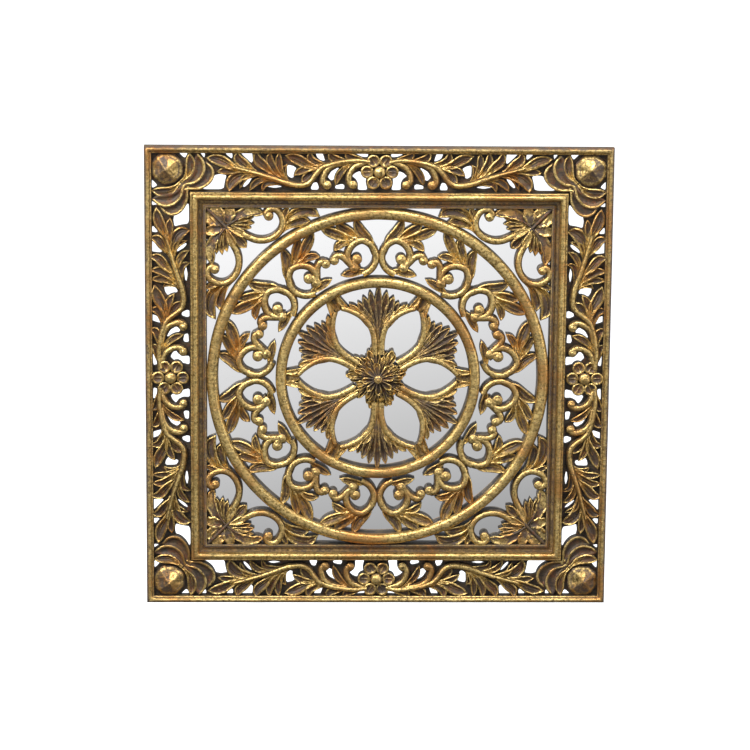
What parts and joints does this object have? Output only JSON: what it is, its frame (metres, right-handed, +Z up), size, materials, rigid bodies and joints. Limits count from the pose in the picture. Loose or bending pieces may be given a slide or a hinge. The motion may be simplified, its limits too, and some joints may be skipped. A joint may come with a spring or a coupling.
{
  "type": "resin wall art panel",
  "caption": "Square openwork wall panel in antique gilt resin: leaf border, moulded frame, two rings, scrolls, fans and a rosette over a flat mirror.",
  "frame": {"origin": "on the flat back, on the centreline of the inner frame's top rail, where the panel is hung", "axes": "+Y points out of the back towards the wall, the front faces -Y, +X is to the right seen from the front, +Z is up"},
  "size_m": [0.76, 0.035, 0.76],
  "materials": {
    "gilt_resin": "antique gold leaf over red-brown, darkened in the hollows",
    "silvered_glass": "flat silvered mirror"
  },
  "bodies": {
    "root": {"panel_casting": "gilt_resin", "mirror_glass": "silvered_glass"}
  },
  "joints": []
}
